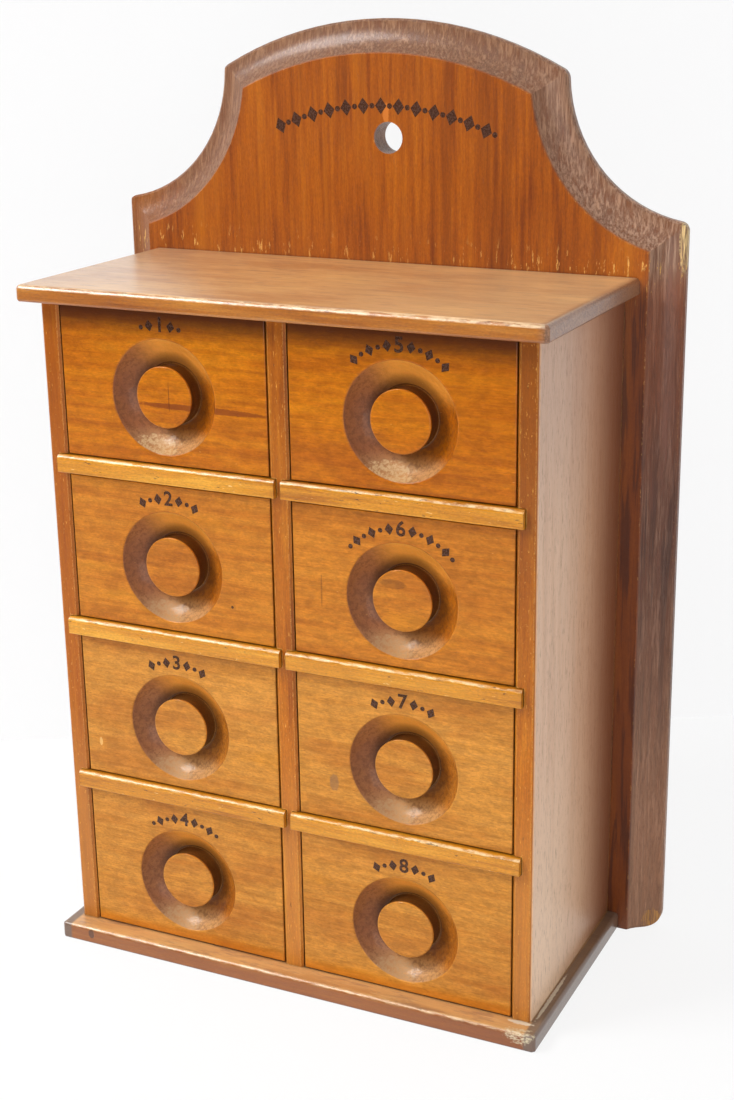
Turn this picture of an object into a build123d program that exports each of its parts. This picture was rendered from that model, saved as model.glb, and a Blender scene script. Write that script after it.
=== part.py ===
"""Tabletop spice cabinet: eight small drawers in a nailed case, on a tall backboard with a coved crest.

Millimetres, +Z up. The front faces -Y. The origin is below the middle of the cabinet, on the surface it
stands on.
"""
from build123d import *

import os
from math import asin, cos, degrees, radians, sin, sqrt

# ---- Case sizes ------------------------------------------------------------------------------------------
case_width = 230.0  # outside of one side to outside of the other
case_depth = 104.6  # front edges of the uprights to the face of the backboard
side_thickness = 8.9
partition_thickness = 9.2
upright_arris = 1.0

row_count = 4
bottom_opening = 70.1  # height of the two lowest openings
row_opening = 68.3  # height of the openings above them
shelf_thickness = 8.0
shelf_lip = 2.6  # how far a shelf stands out in front of the uprights
shelf_upper_round = 1.8
shelf_lower_round = 0.8
side_housing = 4.0  # depth of the housings cut into the sides
partition_housing = 3.25  # depth of the housings cut into each face of the partition
housing_end_gap = 0.2
housing_top_gap = 0.2

top_thickness = 7.4
top_side_overhang = 6.5
top_front_overhang = 8.9
top_upper_round = 2.4
top_lower_round = 1.3
top_corner_clip = 1.5

base_thickness = 8.0
base_side_overhang = 5.5
base_front_overhang = 9.7
base_upper_round = 1.8
base_lower_round = 1.0
base_corner_clip = 1.3

# ---- Backboard sizes -------------------------------------------------------------------------------------
backboard_thickness = 12.0
backboard_reach = 24.5  # how far it stands out past each side of the case
crest_rise = 106.6  # top of the crest above the top board
crest_radius = 174.0
shoulder_width = 169.0  # between the two shoulders, where the crest arch ends
shoulder_round = 5.0
sweep_radius = 62.0  # hollow sweep from a shoulder down to the straight edge
ear_round = 4.0  # corner where a sweep meets the straight edge
foot_round = 9.0
cove_width = 14.7
cove_depth = 7.5
cove_overrun = 10.0  # degrees by which a curved cove is cut on past each end of its curve
backboard_arris = 1.0
backboard_back_arris = 0.8
hanging_hole_diameter = 14.0
hanging_hole_drop = 51.1  # centre of the hole below the top of the crest
hanging_hole_offset = 3.0  # it was bored a little right of the middle

# ---- Drawer sizes ----------------------------------------------------------------------------------------
drawer_side_gap = 0.6
drawer_head_gap = 0.9
drawer_floor_gap = 0.25
drawer_recess = 0.6  # drawer faces behind the front edges of the uprights
drawer_back_gap = 0.3
front_thickness = 14.0
front_tongue = 8.0  # thickness of the front where the sides and the bottom are let in behind it
front_arris = 0.5
drawer_side_thickness = 5.5
drawer_side_drop = 1.5  # top edges of the sides below the top of the front
drawer_back_thickness = 5.5
drawer_back_drop = 4.0
drawer_bottom_thickness = 3.2

# Ring and button, turned in the face of each drawer front
ring_drop = 4.0  # centre of the ring below the middle of the front
ring_radius = 25.5
ring_depth = 9.0
ring_hollow = 1.4  # how deep the knee in the dished wall lies below a straight slope
button_radius = 13.5
button_sink = 0.5  # face of the button behind the face of the drawer

# ---- Cut nails and brads -----------------------------------------------------------------------------------
nail_length = 30.0
nail_thickness = 1.6
nail_width = 2.8
nail_tip_width = 1.2
nail_set = 1.2  # driven this far below the surface of the top board, and the holes filled
nail_inset = 15.0  # nails from the front and back ends of the joint that they hold

brad_length = 14.0
brad_thickness = 1.1
brad_width = 1.8
brad_tip_width = 0.8
brad_inset = 12.0  # brads from the ends of the joint that they hold

# ---- Places that follow from the sizes ---------------------------------------------------------------------
overall_depth = max(base_front_overhang, top_front_overhang) + case_depth + backboard_thickness
back_y = overall_depth / 2
board_y = back_y - backboard_thickness  # face of the backboard
case_y = board_y - case_depth  # front edges of the uprights
face_y = case_y + drawer_recess  # drawer faces
joint_y = face_y + front_tongue  # shoulders of the rebates in a drawer front
front_back_y = face_y + front_thickness
drawer_end_y = board_y - drawer_back_gap

row_pitch = row_opening + shelf_thickness
top_z = base_thickness + bottom_opening + (row_count - 1) * row_pitch  # underside of the top board
crest_z = top_z + top_thickness + crest_rise
shelf_zs = [base_thickness + bottom_opening + level * row_pitch for level in range(row_count - 1)]
floor_zs = [base_thickness] + [shelf_z + shelf_thickness for shelf_z in shelf_zs]
ceiling_zs = shelf_zs + [top_z]

inner_x = case_width / 2 - side_thickness  # inner faces of the sides
side_x = case_width / 2 - side_thickness / 2  # middle of a side's thickness
opening_width = inner_x - partition_thickness / 2
column_x = (inner_x + partition_thickness / 2) / 2
drawer_width = opening_width - 2 * drawer_side_gap

board_x = case_width / 2 + backboard_reach  # edges of the backboard
crest_centre_z = crest_z - crest_radius
shoulder_x = shoulder_width / 2
shoulder_z = crest_centre_z + sqrt(crest_radius**2 - shoulder_x**2)
sweep_x = shoulder_x + sweep_radius
ear_z = shoulder_z - sqrt(sweep_radius**2 - (sweep_x - board_x) ** 2)
cove_radius = (cove_width**2 + cove_depth**2) / (2 * cove_depth)
cove_y = board_y + cove_depth - cove_radius  # centre of the cove's hollow, in front of the board
overrun = radians(cove_overrun)
crest_half_angle = asin(shoulder_x / crest_radius) + overrun
sweep_turn = degrees(asin((shoulder_z - ear_z) / sweep_radius)) + 2 * cove_overrun

os.makedirs("parts", exist_ok=True)


def front_view(y):
    """Plane at depth y that faces the viewer: its own x runs along X and its own y along Z."""
    return Plane(origin=(0, y, 0), x_dir=(1, 0, 0), z_dir=(0, -1, 0))


def save(piece, name):
    """Labels a finished piece and writes it under its name."""
    piece.part.label = name
    export_step(piece.part, f"parts/{name}.step")


# ---- Fasteners: cut from plate, so they taper one way only, and driven flush --------------------------------
def cut_nail(length, thickness, width, tip_width):
    """A nail that points down from the origin, with its wide way along X."""
    with BuildPart() as nail:
        with BuildSketch(front_view(thickness / 2)):
            with BuildLine():
                Polyline(
                    (-width / 2, 0),
                    (width / 2, 0),
                    (tip_width / 2, -length),
                    (-tip_width / 2, -length),
                    close=True,
                )
            make_face()
        extrude(amount=thickness)
    return nail.part


case_nail = cut_nail(nail_length, nail_thickness, nail_width, nail_tip_width)
drawer_brad = cut_nail(brad_length, brad_thickness, brad_width, brad_tip_width)

upright_xs = (-side_x, 0.0, side_x)
nail_ys = (case_y + nail_inset, board_y - nail_inset)

# Down through the top board into the uprights, with the wide way along the grain
with BuildPart() as top_nails:
    head_z = top_z + top_thickness - nail_set
    with Locations(*[Location((x, y, head_z), (0, 0, 90)) for x in upright_xs for y in nail_ys]):
        add(case_nail)
save(top_nails, "top_nails")

# Up through the base board
with BuildPart() as base_nails:
    with Locations(*[Location((x, y, 0), (180, 0, 90)) for x in upright_xs for y in nail_ys]):
        add(case_nail)
save(base_nails, "base_nails")

# In through the backboard, one to each row in the back edge of each upright
with BuildPart() as back_nails:
    row_zs = [(floor_z + ceiling_z) / 2 for floor_z, ceiling_z in zip(floor_zs, ceiling_zs)]
    with Locations(*[Location((x, back_y, z), (-90, 0, 0)) for x in upright_xs for z in row_zs]):
        add(case_nail)
save(back_nails, "back_nails")


# ---- Top and base boards -------------------------------------------------------------------------------------
def make_board(low_z, thickness, side_overhang, front_overhang, corner_clip, upper_round, lower_round):
    """A level board that butts the backboard, rounded along its front and both ends."""
    with BuildPart() as board:
        with BuildSketch(Plane.XY.offset(low_z)) as outline:
            with Locations((0, board_y)):
                Rectangle(
                    case_width + 2 * side_overhang,
                    case_depth + front_overhang,
                    align=(Align.CENTER, Align.MAX),
                )
            chamfer(outline.vertices().group_by(Axis.Y)[0], corner_clip)
        extrude(amount=thickness)
        fillet(board.faces().sort_by(Axis.Z)[-1].edges().sort_by(Axis.Y)[:-1], upper_round)
        fillet(board.faces().sort_by(Axis.Z)[0].edges().sort_by(Axis.Y)[:-1], lower_round)
        add(top_nails.part, mode=Mode.SUBTRACT)
        add(base_nails.part, mode=Mode.SUBTRACT)
    return board


top_board = make_board(
    top_z,
    top_thickness,
    top_side_overhang,
    top_front_overhang,
    top_corner_clip,
    top_upper_round,
    top_lower_round,
)
save(top_board, "top_board")

base_board = make_board(
    0,
    base_thickness,
    base_side_overhang,
    base_front_overhang,
    base_corner_clip,
    base_upper_round,
    base_lower_round,
)
save(base_board, "base_board")


# ---- Sides and partition, with housings right through from front to back for the shelves ------------------------
def make_upright(middle_x, thickness, housed_xs, housing):
    """An upright with housings cut into its faces at housed_xs."""
    with BuildPart() as upright:
        with BuildSketch(Plane.XY.offset(base_thickness)):
            with Locations((middle_x, board_y)):
                Rectangle(thickness, case_depth, align=(Align.CENTER, Align.MAX))
        extrude(amount=top_z - base_thickness)
        chamfer(upright.edges().filter_by(Axis.Z).group_by(Axis.Y)[0], upright_arris)
        with BuildSketch(front_view(board_y)):
            with Locations(*[(x, shelf_z) for x in housed_xs for shelf_z in shelf_zs]):
                Rectangle(2 * housing, shelf_thickness + housing_top_gap, align=(Align.CENTER, Align.MIN))
        extrude(amount=case_depth, mode=Mode.SUBTRACT)
        add(top_nails.part, mode=Mode.SUBTRACT)
        add(base_nails.part, mode=Mode.SUBTRACT)
        add(back_nails.part, mode=Mode.SUBTRACT)
    return upright


side_left = make_upright(-side_x, side_thickness, [-inner_x], side_housing)
save(side_left, "side_left")

side_right = make_upright(side_x, side_thickness, [inner_x], side_housing)
save(side_right, "side_right")

partition_face_x = partition_thickness / 2
partition = make_upright(0, partition_thickness, [-partition_face_x, partition_face_x], partition_housing)
save(partition, "partition")


# ---- Shelves: seated on the floors of their housings, with the lip in front of the uprights -----------------------
def make_shelf(side, low_z):
    """One shelf of the left (-1) or right (1) column."""
    outer_x = inner_x + side_housing - housing_end_gap
    web_x = partition_face_x - partition_housing + housing_end_gap
    with BuildPart() as shelf:
        with BuildSketch(Plane.XY.offset(low_z)):
            with Locations((side * (outer_x + web_x) / 2, board_y)):
                Rectangle(outer_x - web_x, case_depth + shelf_lip, align=(Align.CENTER, Align.MAX))
        extrude(amount=shelf_thickness)
        fillet(shelf.edges().filter_by(Axis.X).group_by(Axis.Y)[0].sort_by(Axis.Z)[-1], shelf_upper_round)
        fillet(shelf.edges().filter_by(Axis.X).group_by(Axis.Y)[0].sort_by(Axis.Z)[0], shelf_lower_round)
    return shelf


columns = (("left", -1), ("right", 1))
for column, side in columns:
    for level, shelf_z in enumerate(reversed(shelf_zs), start=1):
        save(make_shelf(side, shelf_z), f"shelf_{column}_{level}")


# ---- Backboard: arched crest, hollow sweeps, and one cove worked along the whole edge but the bottom -------------
def edge_plane(x, z, outward_x, outward_z):
    """Plane across an edge of the backboard: its own x points out of the board and its own y runs along Y."""
    return Plane(origin=(x, 0, z), x_dir=(outward_x, 0, outward_z), z_dir=(-outward_z, 0, outward_x))


# What the cove takes off the edge: the hollow, and the arris that is left outside it
with BuildSketch() as cove_profile:
    with Locations((0, cove_y)):
        Circle(cove_radius)
    arris_y = cove_y + sqrt(cove_radius**2 - backboard_arris**2)
    with BuildLine():
        Polyline(
            (-backboard_arris, arris_y),
            (0, arris_y + backboard_arris),
            (backboard_arris, arris_y + backboard_arris),
            (backboard_arris, cove_y),
            (-backboard_arris, cove_y),
            close=True,
        )
    make_face()

with BuildPart() as backboard:
    with BuildSketch(front_view(back_y)) as outline:
        with BuildLine():
            Polyline((-board_x, ear_z), (-board_x, 0), (board_x, 0), (board_x, ear_z))
            RadiusArc((board_x, ear_z), (shoulder_x, shoulder_z), sweep_radius)
            RadiusArc((shoulder_x, shoulder_z), (-shoulder_x, shoulder_z), -crest_radius)
            RadiusArc((-shoulder_x, shoulder_z), (-board_x, ear_z), sweep_radius)
        make_face()
        fillet(outline.vertices().group_by(Axis.Y)[-1], shoulder_round)
        fillet(outline.vertices().group_by(Axis.Y)[1], ear_round)
        fillet(outline.vertices().group_by(Axis.Y)[0], foot_round)
    extrude(amount=backboard_thickness)
    chamfer(backboard.faces().sort_by(Axis.Y)[-1].edges(), backboard_back_arris)

    # Crest, from past one shoulder to past the other
    crest_start_x = -crest_radius * sin(crest_half_angle)
    crest_start_z = crest_centre_z + crest_radius * cos(crest_half_angle)
    with BuildSketch(edge_plane(crest_start_x, crest_start_z, -sin(crest_half_angle), cos(crest_half_angle))):
        add(cove_profile.sketch)
    revolve(
        axis=Axis((0, 0, crest_centre_z), (0, 1, 0)),
        revolution_arc=2 * degrees(crest_half_angle),
        mode=Mode.SUBTRACT,
    )
    for side in (-1, 1):
        # Sweep, from past its shoulder to past its ear
        sweep_start_x = side * (sweep_x - sweep_radius * cos(overrun))
        sweep_start_z = shoulder_z + sweep_radius * sin(overrun)
        with BuildSketch(edge_plane(sweep_start_x, sweep_start_z, side * cos(overrun), -sin(overrun))):
            add(cove_profile.sketch)
        revolve(
            axis=Axis((side * sweep_x, 0, shoulder_z), (0, -side, 0)),
            revolution_arc=sweep_turn,
            mode=Mode.SUBTRACT,
        )
        # Straight edge, run up past the sweep
        with BuildSketch(edge_plane(side * board_x, 0, side, 0)):
            add(cove_profile.sketch)
        extrude(amount=side * (ear_z + cove_width), mode=Mode.SUBTRACT)

    with BuildSketch(front_view(back_y)):
        with Locations((hanging_hole_offset, crest_z - hanging_hole_drop)):
            Circle(hanging_hole_diameter / 2)
    extrude(amount=backboard_thickness, mode=Mode.SUBTRACT)
    add(back_nails.part, mode=Mode.SUBTRACT)
save(backboard, "backboard")


# ---- Drawers -----------------------------------------------------------------------------------------------------
def make_drawer(name, middle_x, low_z, high_z):
    """One closed drawer: front with its turned ring, two sides, back, bottom and the brads."""
    middle_z = (low_z + high_z) / 2
    end_x = drawer_width / 2
    side_middle_x = end_x - drawer_side_thickness / 2
    wall_z = low_z + drawer_bottom_thickness
    side_top_z = high_z - drawer_side_drop
    back_top_z = high_z - drawer_back_drop
    corner_y = (joint_y + front_back_y) / 2
    corner_zs = (wall_z + brad_inset, side_top_z - brad_inset)
    bottom_y = (front_back_y + drawer_end_y) / 2

    with BuildPart() as brads:
        for side in (-1, 1):
            outer_face_x = middle_x + side * end_x
            with Locations(*[Location((outer_face_x, corner_y, z), (0, side * 90, 0)) for z in corner_zs]):
                add(drawer_brad)
            under_x = middle_x + side * side_middle_x
            with Locations(Location((under_x, bottom_y, low_z), (180, 0, 90))):
                add(drawer_brad)
    save(brads, f"{name}_brads")

    with BuildPart() as front:
        with BuildSketch(front_view(front_back_y)):
            with Locations((middle_x, middle_z)):
                Rectangle(drawer_width, high_z - low_z)
        extrude(amount=front_thickness)
        chamfer(front.faces().sort_by(Axis.Y)[0].edges(), front_arris)

        # Rebates for the ends of the sides and for the front edge of the bottom
        with BuildSketch(front_view(front_back_y)):
            with Locations((middle_x - end_x, middle_z), (middle_x + end_x, middle_z)):
                Rectangle(2 * drawer_side_thickness, high_z - low_z)
            with Locations((middle_x, low_z)):
                Rectangle(drawer_width, 2 * drawer_bottom_thickness)
        extrude(amount=front_thickness - front_tongue, mode=Mode.SUBTRACT)

        # The turned ring: x is the radius and y the depth behind the face
        ring_z = middle_z - ring_drop
        slope = Vector(button_radius - ring_radius, ring_depth)
        knee = Vector(ring_radius, 0) + slope / 2 + slope.normalized().rotate(Axis.Z, -90) * ring_hollow
        with BuildSketch(Plane(origin=(middle_x, face_y, ring_z), x_dir=(1, 0, 0), z_dir=(0, 0, 1))):
            with BuildLine():
                Polyline(
                    (0, button_sink),
                    (0, -button_sink),
                    (ring_radius, -button_sink),
                    (ring_radius, 0),
                    knee,
                    (button_radius, ring_depth),
                    (button_radius, button_sink),
                    close=True,
                )
            make_face()
        revolve(axis=Axis((middle_x, face_y, ring_z), (0, 1, 0)), mode=Mode.SUBTRACT)
        add(brads.part, mode=Mode.SUBTRACT)
    save(front, f"{name}_front")

    with BuildPart() as sides:
        with BuildSketch(Plane.XY.offset(wall_z)):
            with Locations((middle_x - side_middle_x, drawer_end_y), (middle_x + side_middle_x, drawer_end_y)):
                Rectangle(drawer_side_thickness, drawer_end_y - joint_y, align=(Align.CENTER, Align.MAX))
        extrude(amount=side_top_z - wall_z)
        add(brads.part, mode=Mode.SUBTRACT)
    save(sides, f"{name}_sides")

    with BuildPart() as back:
        with BuildSketch(Plane.XY.offset(wall_z)):
            with Locations((middle_x, drawer_end_y)):
                Rectangle(
                    drawer_width - 2 * drawer_side_thickness,
                    drawer_back_thickness,
                    align=(Align.CENTER, Align.MAX),
                )
        extrude(amount=back_top_z - wall_z)
    save(back, f"{name}_back")

    with BuildPart() as bottom:
        with BuildSketch(Plane.XY.offset(low_z)):
            with Locations((middle_x, drawer_end_y)):
                Rectangle(drawer_width, drawer_end_y - joint_y, align=(Align.CENTER, Align.MAX))
        extrude(amount=drawer_bottom_thickness)
        add(brads.part, mode=Mode.SUBTRACT)
    save(bottom, f"{name}_bottom")


openings = list(zip(floor_zs, ceiling_zs))
for column, side in columns:
    for row, (floor_z, ceiling_z) in enumerate(reversed(openings), start=1):
        make_drawer(
            f"drawer_{column}_{row}",
            side * column_x,
            floor_z + drawer_floor_gap,
            ceiling_z - drawer_head_gap,
        )
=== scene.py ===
"""Tabletop spice cabinet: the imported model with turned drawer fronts, stamped marks, finishes and a stage.

Metres, +Z up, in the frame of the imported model. Sizes that end in _mm are millimetres.
"""
from math import atan2, cos, inf, pi, radians, sin

import bmesh
import bpy
from mathutils import Matrix, Vector


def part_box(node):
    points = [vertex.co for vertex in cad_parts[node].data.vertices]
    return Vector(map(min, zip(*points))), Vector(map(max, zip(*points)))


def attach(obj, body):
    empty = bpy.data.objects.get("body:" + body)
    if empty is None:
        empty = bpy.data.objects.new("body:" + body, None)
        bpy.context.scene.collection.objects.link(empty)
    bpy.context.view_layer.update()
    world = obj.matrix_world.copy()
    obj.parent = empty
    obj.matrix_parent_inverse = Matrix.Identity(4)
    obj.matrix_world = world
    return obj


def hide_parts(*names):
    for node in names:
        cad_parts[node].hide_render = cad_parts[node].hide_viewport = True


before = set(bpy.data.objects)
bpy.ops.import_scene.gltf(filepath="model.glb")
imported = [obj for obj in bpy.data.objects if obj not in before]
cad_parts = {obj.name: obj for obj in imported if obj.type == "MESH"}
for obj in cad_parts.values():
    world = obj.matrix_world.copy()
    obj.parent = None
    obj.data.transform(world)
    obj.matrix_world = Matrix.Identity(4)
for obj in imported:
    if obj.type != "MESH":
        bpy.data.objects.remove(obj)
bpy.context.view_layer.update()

MM = 0.001

# ---- Sizes of the pieces made here, in millimetres -----------------------------------------------
ring_drop_mm = 4.0  # centre of the ring below the middle of a drawer front
ring_radius_mm = 25.5
ring_depth_mm = 9.0
ring_hollow_mm = 1.4
ring_foot_mm = 14.7  # radius at which the dished wall meets the floor of the ring
button_radius_mm = 13.5
button_sink_mm = 0.5
stem_radius_mm = 12.8
front_arris_mm = 0.6
front_tongue_mm = 8.0
front_rebate_mm = 5.5
front_floor_rebate_mm = 3.2
front_margin_mm = 3.0  # from the edge of a front to the loop where its flat face begins
hollow_steps = 9  # along the dished wall
arris_steps = 4  # round the arris of a front
segments = 128  # round the ring of a drawer front
weld_mm = 0.002  # points nearer than this are one point

stamp_lift_mm = 0.03  # ink stands this far off the wood
stamp_radius_mm = 31.3  # middle of the stamped band above a ring
numeral_height_mm = 6.2
numeral_font_share = 1.45  # size of the font to the height of its numerals
numeral_thicken_mm = 0.22
numeral_gap_mm = 1.2  # kept free on each side of the numeral
mark_height_mm = 5.2
mark_step_mm = 4.1
dot_radius_mm = 1.05
dot_sides = 16
lozenge_slimness = 0.38  # half the width of a diamond to its height
crest_centre_z_mm = 247.0
crest_stamp_radius_mm = 136.8
crest_mark_height_mm = 7.4
crest_mark_step_mm = 8.6
crest_dot_radius_mm = 1.25
crest_stamp_from_mm = -55.0
crest_stamp_to_mm = 59.0

columns = ("left", "right")
rows = (1, 2, 3, 4)


# ---- Node materials ------------------------------------------------------------------------------
def paint(red, green, blue):
    """A colour written as on a screen, 0 to 255, in the linear form that the shaders take."""
    linear = [((c / 255 + 0.055) / 1.055) ** 2.4 if c > 10 else c / 255 / 12.92 for c in (red, green, blue)]
    return (*linear, 1.0)


BEVEL_SAMPLES = 6
CREVICE_SAMPLES = 4


class Finish:
    """A node material while it is put together."""

    def __init__(self, name):
        self.material = bpy.data.materials.new(name)
        self.material.use_nodes = True
        self.tree = self.material.node_tree
        self.tree.nodes.clear()
        self.place = self.scaled(self.add("ShaderNodeTexCoord").outputs["Object"], (1 / MM,) * 3)

    def add(self, kind, **settings):
        """A new node with the given settings."""
        node = self.tree.nodes.new(kind)
        for name, value in settings.items():
            setattr(node, name, value)
        return node

    def plug(self, socket, value):
        """Links a socket to another, or sets its value."""
        if isinstance(value, bpy.types.NodeSocket):
            self.tree.links.new(value, socket)
        else:
            socket.default_value = value

    def math(self, operation, a, b=0.0):
        node = self.add("ShaderNodeMath", operation=operation)
        self.plug(node.inputs[0], a)
        self.plug(node.inputs[1], b)
        return node.outputs[0]

    def scaled(self, vector, scale, shift=(0, 0, 0)):
        node = self.add("ShaderNodeMapping")
        self.plug(node.inputs["Vector"], vector)
        self.plug(node.inputs["Scale"], scale)
        self.plug(node.inputs["Location"], shift)
        return node.outputs[0]

    def noise(self, vector, scale, detail=3.0, roughness=0.5, distortion=0.0):
        node = self.add("ShaderNodeTexNoise")
        self.plug(node.inputs["Vector"], vector)
        self.plug(node.inputs["Scale"], scale)
        self.plug(node.inputs["Detail"], detail)
        self.plug(node.inputs["Roughness"], roughness)
        self.plug(node.inputs["Distortion"], distortion)
        return node.outputs[0]

    def ramp(self, value, low, high, to_low=0.0, to_high=1.0):
        """Smooth step from to_low at low to to_high at high."""
        node = self.add("ShaderNodeMapRange", interpolation_type="SMOOTHSTEP")
        for index, part in enumerate((value, low, high, to_low, to_high)):
            self.plug(node.inputs[index], part)
        return node.outputs[0]

    def both(self, a, b):
        """The product of two masks."""
        return self.math("MULTIPLY", a, b)

    def mix(self, factor, a, b):
        """Colour a where the factor is 0 and colour b where it is 1."""
        node = self.add("ShaderNodeMix", data_type="RGBA")
        self.plug(node.inputs[0], factor)
        self.plug(node.inputs[6], a)
        self.plug(node.inputs[7], b)
        return node.outputs[2]

    def axis(self, index):
        """One coordinate of the place, in millimetres."""
        node = self.add("ShaderNodeSeparateXYZ")
        self.plug(node.inputs[0], self.place)
        return node.outputs[index]

    def spot(self, centre, radii, ragged=0.0, grain=0.6):
        """1 inside an ellipsoid and 0 outside, with a ragged edge."""
        inner = self.scaled(self.place, [1 / r for r in radii], [-c / r for c, r in zip(centre, radii)])
        node = self.add("ShaderNodeVectorMath", operation="LENGTH")
        self.plug(node.inputs[0], inner)
        reach = node.outputs["Value"]
        if ragged:
            edge = self.math("SUBTRACT", self.noise(self.place, grain, 3.0), 0.5)
            reach = self.math("ADD", reach, self.both(edge, ragged))
        return self.ramp(reach, 1.05, 0.85)

    def edges(self, radius):
        """1 on outer and inner edges, 0 on flat faces, from a rounded normal."""
        rounded = self.add("ShaderNodeBevel", samples=BEVEL_SAMPLES)
        self.plug(rounded.inputs["Radius"], radius * MM)
        plain = self.add("ShaderNodeNewGeometry").outputs["Normal"]
        node = self.add("ShaderNodeVectorMath", operation="DOT_PRODUCT")
        self.plug(node.inputs[0], rounded.outputs[0])
        self.plug(node.inputs[1], plain)
        return self.ramp(node.outputs["Value"], 0.985, 0.8)

    def facing(self, direction, low, high):
        """0 where the surface is turned away from a direction and 1 where it faces it.

        low and high are cosines of the angle between the two.
        """
        node = self.add("ShaderNodeVectorMath", operation="DOT_PRODUCT")
        self.plug(node.inputs[0], self.add("ShaderNodeNewGeometry").outputs["Normal"])
        node.inputs[1].default_value = Vector(direction).normalized()
        return self.ramp(node.outputs["Value"], low, high)

    def crevices(self, distance):
        """1 in corners and gaps up to the distance across, where shade falls, 0 in the open."""
        node = self.add("ShaderNodeAmbientOcclusion", samples=CREVICE_SAMPLES)
        self.plug(node.inputs["Distance"], distance * MM)
        return self.ramp(node.outputs["AO"], 0.8, 0.3)

    def close(
        self, colour, roughness, height, relief, coat=0.3, coat_roughness=0.2, specular=0.5, metallic=0.0
    ):
        """Ends the material: relief is the depth in millimetres of a height of 1."""
        shader = self.add("ShaderNodeBsdfPrincipled")
        shader.inputs["Metallic"].default_value = metallic
        self.plug(shader.inputs["Base Color"], colour)
        self.plug(shader.inputs["Roughness"], roughness)
        shader.inputs["Coat Weight"].default_value = coat
        shader.inputs["Coat Roughness"].default_value = coat_roughness
        shader.inputs["Specular IOR Level"].default_value = specular
        bump = self.add("ShaderNodeBump")
        bump.inputs["Distance"].default_value = relief * MM
        self.plug(bump.inputs["Height"], height)
        self.plug(shader.inputs["Normal"], bump.outputs[0])
        self.plug(self.add("ShaderNodeOutputMaterial").inputs["Surface"], shader.outputs[0])
        return self.material


# Size of a feature of the wood across the grain, for a size of 1 along it
GRAIN_STRETCH = 0.045
DRIFT_STRETCH = 0.22
MOTTLE_STRETCH = 0.4


def stretched(along, share):
    """A scale that is the share along one axis and 1 along the two others."""
    return [share if axis == along else 1.0 for axis in "XYZ"]


class Wood(Finish):
    """Stained and varnished wood, with its colour and height open to more layers."""

    def __init__(self, name, along, deep, middle, pale, seed, coarse=1.0, figure=1.0):
        """coarse is the size of the grain and figure its contrast, 1 for plain open-grained wood."""
        super().__init__(name)
        shift = (seed * 37.0, seed * 61.0, seed * 23.0)
        self.grain = self.scaled(self.place, stretched(along, GRAIN_STRETCH), shift)
        self.drift = self.scaled(self.place, stretched(along, DRIFT_STRETCH), shift)
        blotch = self.noise(self.drift, 0.045, 3.0, 0.55)
        self.bands = self.noise(self.grain, 0.42 / coarse, 4.0, 0.62, 0.35)
        self.fibre = self.noise(self.grain, 2.6 / coarse, 3.0, 0.65)
        pore_run = self.scaled(self.grain, (1.0, 1.0, 1.0), (9.0, 5.0, 3.0))
        pores = self.ramp(self.noise(pore_run, 3.4 / coarse, 2.0, 0.5), 0.63, 0.74)
        tone = self.math("ADD", self.both(self.bands, 0.55), self.both(blotch, 0.45))
        spread = 0.09 / figure
        colour = self.mix(self.ramp(tone, 0.43 - spread, 0.43 + spread), deep, middle)
        colour = self.mix(self.ramp(tone, 0.59 - spread, 0.59 + spread), colour, pale)
        streak = self.ramp(self.fibre, 0.3, 0.62, 1.0 - 0.14 * figure, 1.0 + 0.08 * figure)
        self.colour = self.tinted(colour, streak)
        self.colour = self.tinted(self.colour, self.ramp(pores, 0.0, 1.0, 1.0, 1.0 - 0.28 * figure))
        mottle_run = self.scaled(self.place, stretched(along, MOTTLE_STRETCH), shift)
        self.mottle = self.noise(mottle_run, 1.5, 3.0, 0.7)
        self.colour = self.tinted(self.colour, self.ramp(self.mottle, 0.34, 0.66, 0.88, 1.1))
        self.height = self.math("SUBTRACT", self.fibre, self.both(pores, 0.9))

    def tinted(self, colour, factor):
        """The colour made lighter or darker by a factor."""
        node = self.add("ShaderNodeVectorMath", operation="SCALE")
        self.plug(node.inputs[0], colour)
        self.plug(node.inputs["Scale"], factor)
        return node.outputs[0]

    def stain(self, mask, colour, strength=1.0):
        """Lays a colour over the wood under the mask."""
        self.colour = self.mix(self.both(mask, strength), self.colour, colour)

    def dent(self, mask, depth):
        """Sinks the surface under the mask; a depth below 0 raises it."""
        self.height = self.math("SUBTRACT", self.height, self.both(mask, depth))

    def worn_edges(self, radius, colour, share, strength=0.8):
        """Bare wood along the edges: share is how much of their length has lost its finish."""
        patches = self.ramp(self.noise(self.place, 0.55, 4.0, 0.7), 0.62 - share * 0.3, 0.7 - share * 0.3)
        self.stain(self.both(self.edges(radius), patches), colour, strength)

    def arris_highlight(self, direction, colour, strength=0.8):
        """A rounded arris that faces the direction, with a painted highlight on it in a broken line and dark
        patches between.
        """
        turned = self.facing(direction, 0.84, 0.95)
        broken = self.ramp(self.noise(self.drift, 0.5, 5.0, 0.8), 0.42, 0.6)
        self.stain(self.both(turned, broken), colour, strength)
        dull = self.ramp(self.noise(self.drift, 0.7, 4.0, 0.75), 0.58, 0.64)
        self.stain(self.both(turned, dull), SOOT_AND_SHADE, 0.55)

    def flecks(self, mask, colour, scale=0.8, amount=0.68):
        """Small flakes of lost finish inside the mask."""
        chips = self.ramp(self.noise(self.drift, scale, 4.0, 0.7), amount, amount + 0.04)
        spots = self.both(chips, mask)
        self.stain(spots, colour, 0.85)
        self.dent(spots, 0.6)

    def done(self, roughness, relief=0.05, coat=0.35, coat_roughness=0.22, specular=0.5):
        """Ends the material, with painted shade and dirt in its crevices and a sheen that varies with the
        fibre.
        """
        # Painted shade, with dirt: the soot colour laid in corners and gaps
        self.stain(self.crevices(2.5), SOOT_AND_SHADE, 0.7)
        varied = self.ramp(self.fibre, 0.25, 0.75, roughness + 0.1, roughness - 0.05)
        return self.close(self.colour, varied, self.height, relief, coat, coat_roughness, specular)


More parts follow.
